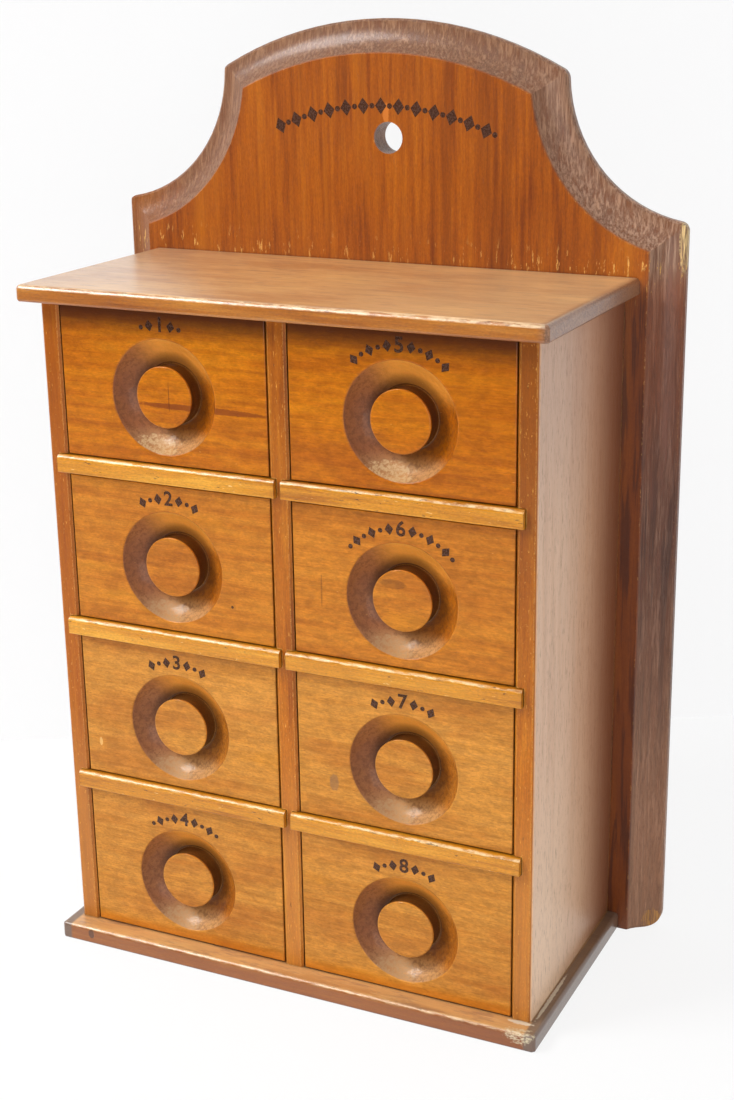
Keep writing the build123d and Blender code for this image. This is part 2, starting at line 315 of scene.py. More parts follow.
BARE = paint(226, 178, 104)
PALE_FLECK = paint(232, 176, 92)
# Dark brown, for soot and dirt, and for painted shade in corners, recesses and along edges
SOOT_AND_SHADE = paint(58, 30, 14)


def dress(node, material):
    """Gives a carried-over node its finish in every slot."""
    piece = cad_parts[node]
    slots = piece.data.materials
    if not slots:
        slots.append(material)
    for index in range(len(slots)):
        slots[index] = material


def backboard_finish():
    """The stained face, the coves and edges behind it with dust and a painted sheen, painted shade on the
    face beside the case, and the broken corners.
    """
    tones = (paint(124, 56, 6), paint(160, 82, 8), paint(180, 100, 14))
    wood = Wood("backboard_wood", "Z", *tones, seed=1.0, coarse=1.1, figure=0.9)
    broad = wood.noise(wood.grain, 0.09, 3.0, 0.6)
    wood.stain(wood.ramp(broad, 0.52, 0.66), paint(184, 106, 16), 0.35)
    wood.stain(wood.ramp(broad, 0.46, 0.34), paint(100, 42, 6), 0.35)
    height = wood.axis(2)
    across = wood.axis(0)
    hollow = wood.ramp(wood.axis(1), 51.25, 52.2)  # all that lies behind the flat face
    # Dust, and a painted sheen, on the coves and edges behind the flat face
    dust_and_sheen = wood.both(hollow, wood.ramp(across, -142.0, -95.0, 0.35, 1.0))
    ribs = wood.noise(wood.grain, 0.9, 5.0, 0.75)
    crowns = wood.mix(wood.ramp(across, 40.0, 110.0), paint(150, 114, 86), paint(172, 138, 114))
    ridge = wood.mix(wood.ramp(ribs, 0.38, 0.6), paint(106, 70, 50), crowns)
    wood.stain(dust_and_sheen, ridge, 0.8)
    wood.dent(wood.both(hollow, wood.ramp(ribs, 0.58, 0.42)), 2.4)
    beside = wood.ramp(wood.math("ABSOLUTE", across), 112.0, 116.0)
    # Painted shade on the backboard beside the case, below the top board
    below = wood.both(beside, wood.ramp(height, 316.0, 300.0))
    wood.stain(below, paint(84, 36, 18), 0.62)
    wood.stain(wood.both(below, wood.ramp(wood.bands, 0.5, 0.42)), paint(50, 24, 16), 0.5)
    strip = wood.both(hollow, wood.ramp(across, 118.0, 122.0))
    strip = wood.both(strip, wood.ramp(height, 324.0, 308.0))
    wood.stain(wood.both(strip, wood.ramp(height, 190.0, 290.0)), paint(140, 68, 20), 0.5)
    wood.stain(wood.both(strip, wood.ramp(height, 200.0, 20.0)), paint(214, 160, 122), 0.42)
    speckle = wood.ramp(wood.noise(wood.drift, 1.3, 4.0, 0.75), 0.5, 0.62)
    wood.stain(wood.both(strip, speckle), paint(84, 50, 36), 0.25)
    wood.stain(wood.both(wood.ramp(across, -118.0, -126.0), hollow), paint(132, 76, 26), 0.45)
    shade = wood.both(wood.ramp(height, 330.0, 318.0), wood.ramp(height, 300.0, 315.0))
    ends = wood.ramp(wood.math("ABSOLUTE", across), 20.0, 120.0, 0.55, 1.0)
    wood.flecks(wood.both(shade, ends), PALE_FLECK, 0.5, 0.6)
    wood.flecks(1.0, PALE_FLECK, 0.8, 0.76)
    wood.worn_edges(1.4, BARE, 0.25, 0.7)
    splinters = wood.ramp(wood.fibre, 0.42, 0.56)
    corner = wood.both(wood.spot((139.8, 58.0, 331.0), (3.6, 8.0, 15.0), 1.0), splinters)
    wood.stain(corner, paint(246, 210, 146), 1.0)
    wood.dent(corner, 3.0)
    foot = wood.both(wood.spot((135.0, 60.0, 4.0), (5.0, 8.0, 6.0), 0.9), splinters)
    wood.stain(foot, paint(214, 156, 84), 0.85)
    wood.dent(foot, 2.5)
    nick = wood.spot((2.0, 50.5, 380.5), (1.6, 3.0, 4.6), 0.8)
    wood.stain(nick, paint(206, 120, 44), 0.9)
    return wood.done(roughness=0.42, relief=0.07, coat=0.35, coat_roughness=0.24, specular=0.3)


def side_finish():
    """The uprights: stained front edges with painted shade towards the top, a painted sheen on the outer
    face on the right and a plain one on the left.
    """
    wood = Wood("side_wood", "Z", paint(140, 70, 6), paint(178, 98, 8), paint(200, 122, 20), seed=2.0)
    across = wood.axis(0)
    depth = wood.axis(1)
    height = wood.axis(2)
    edge = wood.facing((0, -1, 0), 0.5, 0.9)
    # Painted shade on the front edges: darker towards the top, most on the right post
    high = wood.both(edge, wood.ramp(height, 110.0, 280.0))
    wood.stain(high, paint(128, 62, 14), 0.35)
    right = wood.both(high, wood.ramp(across, 60.0, 90.0))
    wood.stain(right, paint(104, 52, 18), 0.45)
    wood.stain(wood.both(edge, wood.ramp(across, -90.0, -100.0)), paint(150, 72, 0), 0.4)
    wood.stain(wood.both(edge, wood.ramp(height, 130.0, 60.0)), paint(210, 150, 78), 0.3)
    wood.stain(wood.ramp(across, -114.4, -114.9), paint(150, 92, 44), 0.6)
    # Painted sheen on the right outer face: pale with streaks, palest low down, greyer high up, and warmer
    # further back where it fades
    outer = wood.ramp(across, 114.4, 114.9)
    streaks = wood.noise(wood.grain, 0.2, 3.0, 0.6)
    wood.stain(wood.both(outer, wood.ramp(streaks, 0.35, 0.6, 0.85, 1.0)), paint(236, 198, 166), 0.88)
    low = wood.both(outer, wood.ramp(height, 150.0, 30.0))
    wood.stain(low, paint(248, 214, 178), 0.5)
    upper = wood.both(outer, wood.ramp(height, 200.0, 290.0))
    wood.stain(upper, paint(176, 144, 132), 0.4)
    dashes = wood.noise(wood.scaled(wood.place, (1.0, 1.0, 0.12)), 1.5, 3.0, 0.7)
    wood.stain(wood.both(outer, wood.ramp(dashes, 0.54, 0.66)), paint(140, 94, 62), 0.5)
    warm = wood.both(outer, wood.ramp(depth, -34.0, 26.0))
    wood.stain(warm, paint(176, 104, 44), 0.5)
    # Painted shade towards the backboard, which hides the room from this face
    wood.stain(wood.both(outer, wood.ramp(depth, 0.0, 50.0)), paint(110, 50, 14), 0.85)
    wood.flecks(edge, SOOT_AND_SHADE, 0.8, 0.67)
    wood.worn_edges(1.3, PALE_FLECK, 0.7, 0.9)
    wood.flecks(edge, paint(236, 170, 70), 1.6, 0.64)
    return wood.done(roughness=0.38, coat=0.22, coat_roughness=0.18, specular=0.22)


def board_finish(node, seed):
    """Top and base boards: dull and scratched above, with a painted sheen there, and a painted highlight in
    a broken line along the front arris.

    Gives the open material and the mask of the board's upper face.
    """
    tones = (paint(134, 70, 18), paint(166, 97, 27), paint(190, 124, 46))
    wood = Wood(f"{node}_wood", "X", *tones, seed, coarse=1.1, figure=0.9)
    top_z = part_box(node)[1].z / MM
    face = wood.ramp(wood.axis(2), top_z - 0.5, top_z - 0.1)
    # Painted sheen on the upper face, as lit from above, together with dust
    wood.stain(face, paint(232, 184, 122), 0.62)
    cloud = wood.noise(wood.drift, 0.06, 4.0, 0.65)
    wood.stain(wood.both(face, wood.ramp(cloud, 0.46, 0.6)), paint(176, 118, 66), 0.6)
    scuffs = wood.noise(wood.drift, 0.3, 4.0, 0.7)
    wood.stain(wood.both(face, wood.ramp(scuffs, 0.52, 0.64)), paint(150, 112, 86), 0.5)
    wood.stain(wood.both(face, wood.ramp(cloud, 0.44, 0.34)), paint(236, 184, 112), 0.5)
    scratches = wood.ramp(wood.noise(wood.grain, 1.3, 3.0, 0.7), 0.62, 0.68)
    wood.stain(wood.both(face, scratches), paint(232, 196, 146), 0.45)
    # Painted highlight along the front arris
    wood.arris_highlight((0, -0.7, 0.7), paint(238, 208, 160), 0.7)
    wood.worn_edges(1.0, paint(230, 186, 120), 0.3, 0.5)
    wood.flecks(1.0, SOOT_AND_SHADE, 0.9, 0.7)
    wood.flecks(1.0, PALE_FLECK, 0.7, 0.73)
    return wood, face


def top_finish():
    """The top is greyed towards its left end with dust and a painted reflection, paler towards the right,
    and dirty on the right end.
    """
    wood, face = board_finish("top_board", 3.0)
    across = wood.axis(0)
    # Greyer towards the left end: dust, and a painted reflection of the pale room beyond the backboard
    wood.stain(wood.both(face, wood.ramp(across, -40.0, -125.0)), paint(166, 136, 116), 0.4)
    wood.stain(wood.both(face, wood.ramp(across, -20.0, 90.0)), paint(240, 206, 160), 0.25)
    ends = wood.ramp(across, 116.0, 121.0)
    rough = wood.ramp(wood.mottle, 0.4, 0.6)
    wood.stain(ends, wood.mix(rough, paint(104, 74, 56), paint(150, 112, 84)), 0.7)
    return wood.done(roughness=0.34, coat=0.7, coat_roughness=0.26)


def base_finish():
    """The base is greyed beside the case, with old glue at the front of the right side."""
    wood, _ = board_finish("base_board", 7.0)
    wood.stain(wood.facing((0, -1, 0), 0.7, 0.95), paint(134, 70, 18), 0.6)
    beside = wood.ramp(wood.math("ABSOLUTE", wood.axis(0)), 114.6, 116.0)
    wood.stain(beside, paint(104, 86, 74), 0.85)
    glue = paint(228, 220, 200)
    for centre, radii in (((111.0, -54.8, 8.0), (6.0, 1.3, 1.2)), ((116.4, -32.0, 8.0), (0.9, 20.0, 1.2))):
        wood.stain(wood.spot(centre, radii, 1.2, 0.8), glue, 0.75)
    lump = wood.spot((113.0, -62.5, 6.5), (7.0, 4.0, 3.6), 1.3)
    crust = wood.both(lump, wood.ramp(wood.mottle, 0.4, 0.6))
    wood.stain(crust, paint(226, 212, 176), 0.75)
    wood.dent(crust, -1.6)
    ding = wood.spot((-104.0, -63.0, 5.0), (1.6, 2.0, 2.4), 0.4)
    wood.stain(ding, SOOT_AND_SHADE, 0.7)
    wood.dent(ding, 3.0)
    return wood.done(roughness=0.34, coat=0.6, coat_roughness=0.26)


def shelf_finish():
    """Shelves: a painted highlight in a broken line along the lips, and painted shade with dirt along their
    edges.
    """
    wood = Wood("shelf_wood", "X", paint(166, 96, 14), paint(202, 132, 24), paint(220, 156, 44), seed=4.0)
    # Darker along the outer and inner edges of the lips: painted shade, with dirt
    wood.worn_edges(0.7, SOOT_AND_SHADE, 0.9, 0.5)
    # Painted highlight along the lips
    wood.arris_highlight((0, -0.7, 0.7), paint(244, 216, 164), 0.7)
    wood.flecks(1.0, SOOT_AND_SHADE, 0.9, 0.64)
    wood.flecks(1.0, paint(240, 200, 124), 0.8, 0.66)
    return wood.done(roughness=0.3, coat=0.4, coat_roughness=0.18, specular=0.35)


def inside_finish(name, along, seed):
    """Bare drawer wood, darkened a little by handling."""
    wood = Wood(name, along, paint(176, 128, 72), paint(204, 160, 102), paint(222, 184, 130), seed)
    wood.worn_edges(0.8, paint(236, 206, 160), 0.4, 0.5)
    return wood.done(roughness=0.62, coat=0.0, coat_roughness=0.3, specular=0.3)


def iron_finish():
    """Iron nails, rusty in patches."""
    metal = Finish("cut_nails")
    rust = metal.noise(metal.place, 1.4, 4.0, 0.7)
    colour = metal.mix(metal.ramp(rust, 0.4, 0.62), paint(62, 58, 56), paint(104, 62, 38))
    roughness = metal.ramp(rust, 0.3, 0.7, 0.4, 0.75)
    return metal.close(colour, roughness, rust, relief=0.05, coat=0.0, metallic=0.7)


def ink_finish():
    """Stamped ink, worn thin in places."""
    ink = Finish("stamp_ink")
    wear = ink.noise(ink.place, 1.1, 4.0, 0.7)
    shader = ink.add("ShaderNodeBsdfPrincipled")
    colour = ink.mix(ink.ramp(wear, 0.3, 0.7), paint(52, 26, 12), paint(84, 44, 20))
    ink.plug(shader.inputs["Base Color"], colour)
    shader.inputs["Roughness"].default_value = 0.5
    clear = ink.add("ShaderNodeBsdfTransparent")
    blend = ink.add("ShaderNodeMixShader")
    ink.plug(blend.inputs[0], ink.ramp(wear, 0.34, 0.56, 0.35, 0.92))
    ink.plug(blend.inputs[1], clear.outputs[0])
    ink.plug(blend.inputs[2], shader.outputs[0])
    ink.plug(ink.add("ShaderNodeOutputMaterial").inputs["Surface"], blend.outputs[0])
    return ink.material


# Tone of each front: how far it goes from the deep stain of the top row to the paler one of the bottom row
FRONT_FADE = {1: 0.0, 2: 0.25, 3: 0.7, 4: 0.7}


def front_finish(column, row):
    """A drawer front, in millimetres about the centre of its ring on the face."""

    def faded(top_row, bottom_row):
        return [a + (b - a) * FRONT_FADE[row] for a, b in zip(top_row, bottom_row)]

    tones = (
        faded(paint(160, 82, 3), paint(184, 118, 38)),
        faded(paint(186, 104, 4), paint(200, 140, 55)),
        faded(paint(198, 120, 8), paint(212, 150, 70)),
    )
    seed = row * 2.0 + columns.index(column) * 9.0
    wood = Wood(f"front_wood_{column}_{row}", "X", *tones, seed, coarse=0.85, figure=0.55)
    flat = wood.scaled(wood.place, (1.0, 0.0, 1.0))
    node = wood.add("ShaderNodeVectorMath", operation="LENGTH")
    wood.plug(node.inputs[0], flat)
    radius = node.outputs["Value"]
    across = wood.axis(0)
    depth = wood.axis(1)
    height = wood.axis(2)
    outside = wood.ramp(radius, 13.9, 14.3)
    sunk = wood.both(wood.ramp(depth, 0.15, 0.6), outside)
    dish = wood.both(sunk, wood.ramp(radius, 26.2, 25.4))
    stem = wood.both(wood.ramp(depth, 1.0, 2.2), wood.ramp(radius, 14.3, 13.9))
    cloud = wood.noise(wood.drift, 0.035, 4.0, 0.65)
    wood.stain(wood.ramp(cloud, 0.5, 0.64), paint(160, 80, 6), 0.35)
    wood.stain(wood.ramp(cloud, 0.44, 0.34), paint(214, 140, 26), 0.3)
    ripple = wood.noise(wood.scaled(wood.place, (0.4, 1.0, 1.0), (seed, 0, 0)), 0.3, 4.0, 0.7)
    wood.colour = wood.tinted(wood.colour, wood.ramp(ripple, 0.36, 0.64, 0.84, 1.1))
    dashes = wood.noise(wood.scaled(wood.place, (0.14, 1.0, 1.0), (0, 0, seed)), 1.7, 3.0, 0.7)
    wood.stain(wood.ramp(dashes, 0.58, 0.68), paint(112, 54, 6), 0.4)
    wood.stain(dish, paint(170, 88, 18), 0.5)
    # Painted reflection of the pale floor on the upper wall of the dish, which faces down
    upper = wood.both(dish, wood.ramp(height, 4.0, 16.0))
    wood.stain(upper, paint(214, 132, 54), 0.6)
    # Painted highlight on the lower wall of the dish
    lower = wood.both(dish, wood.ramp(height, -13.0, -20.0))
    wood.stain(lower, paint(214, 168, 112), 0.55)
    # Painted reflection of the grey room on the left wall of the dish
    grey_reflection = wood.both(dish, wood.ramp(across, 4.0, -16.0))
    wood.stain(grey_reflection, paint(122, 80, 62), 0.6)
    turned = wood.noise(wood.place, 0.55, 5.0, 0.7)
    patches = wood.both(dish, wood.ramp(turned, 0.44, 0.6))
    wood.stain(patches, paint(104, 58, 28), 0.45)
    # Painted light: brighter orange on the upper right of the dish
    wood.stain(wood.both(upper, wood.ramp(across, -18.0, -2.0)), paint(248, 164, 66), 0.75)
    shine = wood.both(wood.spot((-6.0, 3.0, -21.5), (11.0, 6.0, 5.0), 1.1, 0.35), dish)
    glints = wood.both(shine, wood.ramp(turned, 0.42, 0.58))
    wood.stain(glints, paint(240, 204, 150), 0.5 if row == 1 else 0.22)
    # Painted shade on the floor of the ring and on the stem under the button
    floor = wood.ramp(depth, 6.5, 9.0)
    wood.stain(wood.both(floor, dish), SOOT_AND_SHADE, 0.6)
    wood.stain(stem, SOOT_AND_SHADE, 0.85)
    wood.dent(wood.both(turned, dish), -4.6)
    wood.flecks(1.0, paint(236, 176, 84), 0.75, 0.71)
    wood.flecks(1.0, paint(120, 60, 12), 1.0, 0.69)
    # Darker along every edge of the front: painted shade, as in the gaps beside it, with grime
    rim = wood.edges(0.7)
    wood.stain(rim, SOOT_AND_SHADE, 0.45)
    button_rim = wood.both(rim, wood.ramp(radius, 14.2, 13.8))
    wood.stain(button_rim, paint(222, 150, 60), 0.75)
    if row == 1:
        shaded = wood.both(wood.ramp(height, 24.0, 37.0), wood.ramp(depth, 1.6, 0.6))
        wood.stain(shaded, paint(74, 30, 4), 0.95)
    if row == 4:
        wood.stain(wood.ramp(height, -24.0, -30.0), paint(206, 112, 16), 0.5)
    return wood


def front_marks(wood, column, row):
    """Stains and scratches of one front: centre and radii of each in millimetres, colour and strength."""
    spots = []
    if (column, row) == ("left", 1):
        spots.append(((18.0, -0.5, -3.5), (34.0, 4.0, 1.5), paint(120, 52, 10), 0.75))
        spots.append(((2.5, -0.5, 0.5), (0.35, 1.5, 9.0), SOOT_AND_SHADE, 0.6))
    if (column, row) == ("right", 2):
        spots.append(((-37.0, -0.5, 0.0), (0.5, 1.0, 9.0), SOOT_AND_SHADE, 0.4))
        spots.append(((-4.0, 0.5, 7.0), (6.0, 1.5, 2.2), SOOT_AND_SHADE, 0.35))
    if (column, row) == ("left", 3):
        spots.append(((-18.0, 2.0, -2.0), (1.0, 4.0, 1.0), SOOT_AND_SHADE, 0.9))
        spots.append(((-43.0, -0.5, -14.0), (1.0, 1.0, 2.6), BARE, 0.8))
    if (column, row) == ("right", 3):
        spots.append(((-33.0, -0.5, -12.0), (2.4, 1.5, 4.5), paint(120, 92, 70), 0.5))
    if (column, row) == ("left", 4):
        spots.append(((-6.0, -0.5, 31.0), (0.9, 1.0, 1.2), SOOT_AND_SHADE, 0.8))
    if (column, row) == ("left", 2):
        spots.append(((30.0, -0.5, -14.0), (0.8, 1.0, 0.8), SOOT_AND_SHADE, 0.9))
    for centre, radii, colour, strength in spots:
        wood.stain(wood.spot(centre, radii, 0.5, 0.9), colour, strength)


# ---- Pieces --------------------------------------------------------------------------------------
def new_piece(name, mesh, body, material, place=Vector((0, 0, 0))):
    """An object of the given mesh that rides on a body."""
    piece = bpy.data.objects.new(name, mesh)
    piece.location = place
    bpy.context.collection.objects.link(piece)
    mesh.materials.append(material)
    bpy.context.view_layer.update()
    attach(piece, body)
    return piece


def keep_crisp(piece, angle):
    """Smooth shading that stays crisp across edges sharper than the angle."""
    piece.data.shade_smooth()
    piece.data.set_sharp_from_angle(angle=radians(angle))
    modifier = piece.modifiers.new("weighted_normal", "WEIGHTED_NORMAL")
    modifier.keep_sharp = True


def front_profile():
    """Radius and depth of the turned part, in millimetres, from the rim inwards to the middle."""
    rim_end = (ring_radius_mm - 0.15, 0.22)
    rim = [(ring_radius_mm + 0.5, 0.0), (ring_radius_mm + 0.1, 0.04), rim_end]
    # The dished wall, bowed into the wood
    start = Vector(rim_end)
    end = Vector((ring_foot_mm, ring_depth_mm - 0.15))
    slope = (end - start).normalized()
    inward = Vector((slope.y, -slope.x))
    hollow = []
    for step in range(1, hollow_steps):
        t = step / hollow_steps
        bow = 4 * ring_hollow_mm * t * (1 - t)
        hollow.append(tuple(start.lerp(end, t) + inward * bow))
    # The floor of the ring, and the stem, undercut below the button
    foot = [(ring_foot_mm, ring_depth_mm - 0.12), (14.0, ring_depth_mm), (13.4, ring_depth_mm - 0.15)]
    stem = [(13.0, 8.2), (stem_radius_mm, 7.2), (stem_radius_mm, 3.4), (12.95, 2.5), (13.3, 1.8)]
    # The button, with its edge rounded
    edge = [(button_radius_mm, 1.35), (button_radius_mm, 0.95), (13.4, 0.7), (13.15, 0.54)]
    face = [(12.8, button_sink_mm), (8.0, button_sink_mm), (3.0, button_sink_mm)]
    return rim + hollow + foot + stem + edge + face


def drawer_front(column, row):
    """One board: flat face with soft arrises, the turned ring and its button, and the rebates behind."""
    node = f"drawer_{column}_{row}_front"
    low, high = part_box(node)
    middle = (low + high) / 2
    centre = Vector((middle.x, low.y, middle.z - ring_drop_mm * MM))
    board_left = (low.x - centre.x) / MM
    board_right = (high.x - centre.x) / MM
    board_bottom = (low.z - centre.z) / MM
    board_top = (high.z - centre.z) / MM
    angles = [2 * pi * step / segments for step in range(segments)]
    upright = 1e-9  # a sine or cosine nearer to 0 than this never meets that side

    def outline(left, right, bottom, top):
        """Points of a rectangle inside the board's edge, one for each angle, with its corners kept."""
        x0 = board_left + left
        x1 = board_right - right
        z0 = board_bottom + bottom
        z1 = board_top - top
        points = []
        for angle in angles:
            x, z = cos(angle), sin(angle)
            scale = min(
                (x1 if x > 0 else x0) / x if abs(x) > upright else inf,
                (z1 if z > 0 else z0) / z if abs(z) > upright else inf,
            )
            points.append((x * scale, z * scale))
        for x in (x0, x1):
            for z in (z0, z1):
                corner = atan2(z, x) % (2 * pi)
                points[round(corner / (2 * pi) * segments) % segments] = (x, z)
        return points

    board_depth = (high.y - low.y) / MM
    inner = outline(front_rebate_mm, front_rebate_mm, front_floor_rebate_mm, 0.0)
    loops = [(inner, board_depth), (inner, front_tongue_mm), (outline(0, 0, 0, 0), front_tongue_mm)]
    for step in range(arris_steps + 1):
        turn = pi / 2 * step / arris_steps
        inset = front_arris_mm * (1 - cos(turn))
        loops.append((outline(inset, inset, inset, inset), front_arris_mm * (1 - sin(turn))))
    loops.append((outline(front_margin_mm, front_margin_mm, front_margin_mm, front_margin_mm), 0.0))
    for radius, depth in front_profile():
        loops.append(([(radius * cos(a), radius * sin(a)) for a in angles], depth))

    shape = bmesh.new()
    rings = [[shape.verts.new((x * MM, depth * MM, z * MM)) for x, z in points] for points, depth in loops]
    for outer, inside in zip(rings, rings[1:]):
        for index in range(segments):
            after = (index + 1) % segments
            shape.faces.new((outer[index], outer[after], inside[after], inside[index]))
    tip = shape.verts.new((0, button_sink_mm * MM, 0))
    for index in range(segments):
        shape.faces.new((rings[-1][index], rings[-1][(index + 1) % segments], tip))
    shape.faces.new(list(reversed(rings[0])))
    bmesh.ops.remove_doubles(shape, verts=shape.verts, dist=weld_mm * MM)
    bmesh.ops.recalc_face_normals(shape, faces=shape.faces)
    mesh = bpy.data.meshes.new(f"{node}_face")
    shape.to_mesh(mesh)
    shape.free()

    wood = front_finish(column, row)
    front_marks(wood, column, row)
    finish = wood.done(roughness=0.34, coat=0.2, coat_roughness=0.14, specular=0.18)
    piece = new_piece(f"{node}_turned", mesh, f"drawer_{column}_{row}", finish, centre)
    keep_crisp(piece, angle=40)
    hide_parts(node)
    return centre


def add_outline(shape, points, centre_x, centre_z, turn):
    """One flat mark, turned about its own middle."""
    verts = []
    for x, z in points:
        place_x = centre_x + x * cos(turn) - z * sin(turn)
        place_z = centre_z + x * sin(turn) + z * cos(turn)
        verts.append(shape.verts.new((place_x * MM, 0, place_z * MM)))
    shape.faces.new(verts)


def lozenge(height):
    """A narrow diamond, with a point half way along each side."""
    wide = height * lozenge_slimness
    tall = height / 2
    right = [(0, -tall), (wide * 0.5, -tall * 0.5), (wide, 0), (wide * 0.5, tall * 0.5)]
    left = [(0, tall), (-wide * 0.5, tall * 0.5), (-wide, 0), (-wide * 0.5, -tall * 0.5)]
    return right + left


def dot(radius):
    angles = [2 * pi * step / dot_sides for step in range(dot_sides)]
    return [(radius * cos(a), radius * sin(a)) for a in angles]


def numeral_mesh(text):
    """Flat outline of a plain numeral, standing upright about its own middle."""
    curve = bpy.data.curves.new("numeral", "FONT")
    curve.body = text
    curve.align_x = "CENTER"
    curve.align_y = "CENTER"
    curve.size = numeral_height_mm * numeral_font_share * MM
    curve.offset = numeral_thicken_mm * MM
    letter = bpy.data.objects.new("numeral", curve)
    bpy.context.collection.objects.link(letter)
    bpy.context.view_layer.update()
    mesh = bpy.data.meshes.new_from_object(letter.evaluated_get(bpy.context.evaluated_depsgraph_get()))
    bpy.data.objects.remove(letter)
    bpy.data.curves.remove(curve)
    mesh.transform(Matrix.Rotation(pi / 2, 4, "X"))
    return mesh


# Marks on each side of the numeral, so that the band is about as long as it is in the photograph
STAMP_MARKS = {"left": {1: 2, 2: 3, 3: 3, 4: 4}, "right": {1: 5, 2: 6, 3: 3, 4: 3}}


def drawer_stamp(column, row, centre, ink):
    """A numeral between small diamonds and dots, bent round the top of the ring."""
    number = str(row + len(rows) * columns.index(column))
    numeral = numeral_mesh(number)
    numeral.transform(Matrix.Translation((0, 0, stamp_radius_mm * MM)))
    shape = bmesh.new()
    shape.from_mesh(numeral)
    bpy.data.meshes.remove(numeral)
    for side in (-1, 1):
        for order in range(1, STAMP_MARKS[column][row] + 1):
            angle = -side * (order * mark_step_mm + numeral_gap_mm) / stamp_radius_mm
            x = -stamp_radius_mm * sin(angle)
            z = stamp_radius_mm * cos(angle)
            outline = lozenge(mark_height_mm) if order % 2 else dot(dot_radius_mm)
            add_outline(shape, outline, x, z, angle)
    mesh = bpy.data.meshes.new(f"stamp_{column}_{row}")
    shape.to_mesh(mesh)
    shape.free()
    place = centre - Vector((0, stamp_lift_mm * MM, 0))
    new_piece(f"drawer_{column}_{row}_stamp", mesh, f"drawer_{column}_{row}", ink, place)


def crest_stamp(ink):
    """The band of diamonds and dots that follows the crest."""
    shape = bmesh.new()
    start = atan2(-crest_stamp_from_mm, crest_stamp_radius_mm)
    end = atan2(-crest_stamp_to_mm, crest_stamp_radius_mm)
    count = round((start - end) * crest_stamp_radius_mm / crest_mark_step_mm * 2)
    for order in range(count + 1):
        angle = start + (end - start) * order / count
        x = -crest_stamp_radius_mm * sin(angle)
        z = crest_centre_z_mm + crest_stamp_radius_mm * cos(angle)
        outline = dot(crest_dot_radius_mm) if order % 2 else lozenge(crest_mark_height_mm)
        add_outline(shape, outline, x, z, angle)
    mesh = bpy.data.meshes.new("crest_stamp")
    shape.to_mesh(mesh)
    shape.free()
    face_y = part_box("backboard")[0].y
    new_piece("crest_stamp", mesh, "case", ink, Vector((0, face_y - stamp_lift_mm * MM, 0)))


# ---- Camera --------------------------------------------------------------------------------------
image_width = 734
image_height = 1100
focal_pixels = 1776.15
middle_x_pixels = 404.41  # where the camera's axis meets the picture
middle_y_pixels = 529.35
camera_place = Vector((0.345285, -0.680187, 0.441841))
camera_forward = Vector((-0.398117, 0.866504, -0.301120)).normalized()
camera_roll = radians(-0.5188)
floor_end_left_pixels = 741  # height in the picture at which the floor meets the wall, at its left side
floor_end_right_pixels = 715

level_right = camera_forward.cross(Vector((0, 0, 1))).normalized()
level_up = level_right.cross(camera_forward)
camera_right = level_right * cos(camera_roll) + level_up * sin(camera_roll)
camera_up = level_up * cos(camera_roll) - level_right * sin(camera_roll)


def make_camera():
    """The camera that was fitted to the photograph."""
    data = bpy.data.cameras.new("camera")
    data.sensor_fit = "HORIZONTAL"
    data.sensor_width = 36.0
    data.lens = focal_pixels * data.sensor_width / image_width
    data.shift_x = (image_width / 2 - middle_x_pixels) / image_width
    data.shift_y = (middle_y_pixels - image_height / 2) / image_width
    data.clip_start = 0.01
    data.clip_end = 50.0
    camera = bpy.data.objects.new("camera", data)
    turn = Matrix((camera_right, camera_up, -camera_forward)).transposed()
    camera.matrix_world = Matrix.Translation(camera_place) @ turn.to_4x4()
    bpy.context.collection.objects.link(camera)
    bpy.context.scene.camera = camera


# ---- Stage and light -----------------------------------------------------------------------------
def floor_point(x_pixels, y_pixels):
    """Where the sight line through a pixel of the photograph meets the floor."""
    side = (x_pixels - middle_x_pixels) / focal_pixels
    rise = (middle_y_pixels - y_pixels) / focal_pixels
    line = camera_forward + camera_right * side + camera_up * rise
    return camera_place + line * (-camera_place.z / line.z)


def seen_rays(tree):
    """1 for the rays that show the background: camera, glossy and transmission rays."""
    path = tree.nodes.new("ShaderNodeLightPath")
    seen = path.outputs["Is Camera Ray"]
    for output in ("Is Glossy Ray", "Is Transmission Ray"):
        either = tree.nodes.new("ShaderNodeMath")
        either.operation = "MAXIMUM"
        tree.links.new(seen, either.inputs[0])
        tree.links.new(path.outputs[output], either.inputs[1])
        seen = either.outputs[0]
    return seen


def plain(name, colour, glow_share):
    """A pale matt surface that keeps the shadows that fall on it, and is seen through from its back.

    glow_share of it is white whatever falls there.
    """
    matt = Finish(name)
    diffuse = matt.add("ShaderNodeBsdfDiffuse")
    diffuse.inputs["Color"].default_value = colour
    glow = matt.add("ShaderNodeEmission")
    blend = matt.add("ShaderNodeMixShader")
    matt.plug(blend.inputs[0], matt.both(seen_rays(matt.tree), glow_share))
    matt.plug(blend.inputs[1], diffuse.outputs[0])
    matt.plug(blend.inputs[2], glow.outputs[0])
    looked_at = matt.add("ShaderNodeLightPath").outputs["Is Camera Ray"]
    behind = matt.add("ShaderNodeNewGeometry").outputs["Backfacing"]
    one_sided = matt.add("ShaderNodeMixShader")
    matt.plug(one_sided.inputs[0], matt.both(looked_at, behind))
    matt.plug(one_sided.inputs[1], blend.outputs[0])
    matt.plug(one_sided.inputs[2], matt.add("ShaderNodeBsdfTransparent").outputs[0])
    matt.plug(matt.add("ShaderNodeOutputMaterial").inputs["Surface"], one_sided.outputs[0])
    return matt.material


floor_front = -0.5  # the table ends here, in front of the cabinet and outside the picture
stage_reach = 3.0  # of the floor and the backdrop past each side of the picture
backdrop_height = 3.0
paper_glow = 0.86  # share of the paper that is white whatever light falls on it
lamp_target = Vector((0, 0, 0.2))

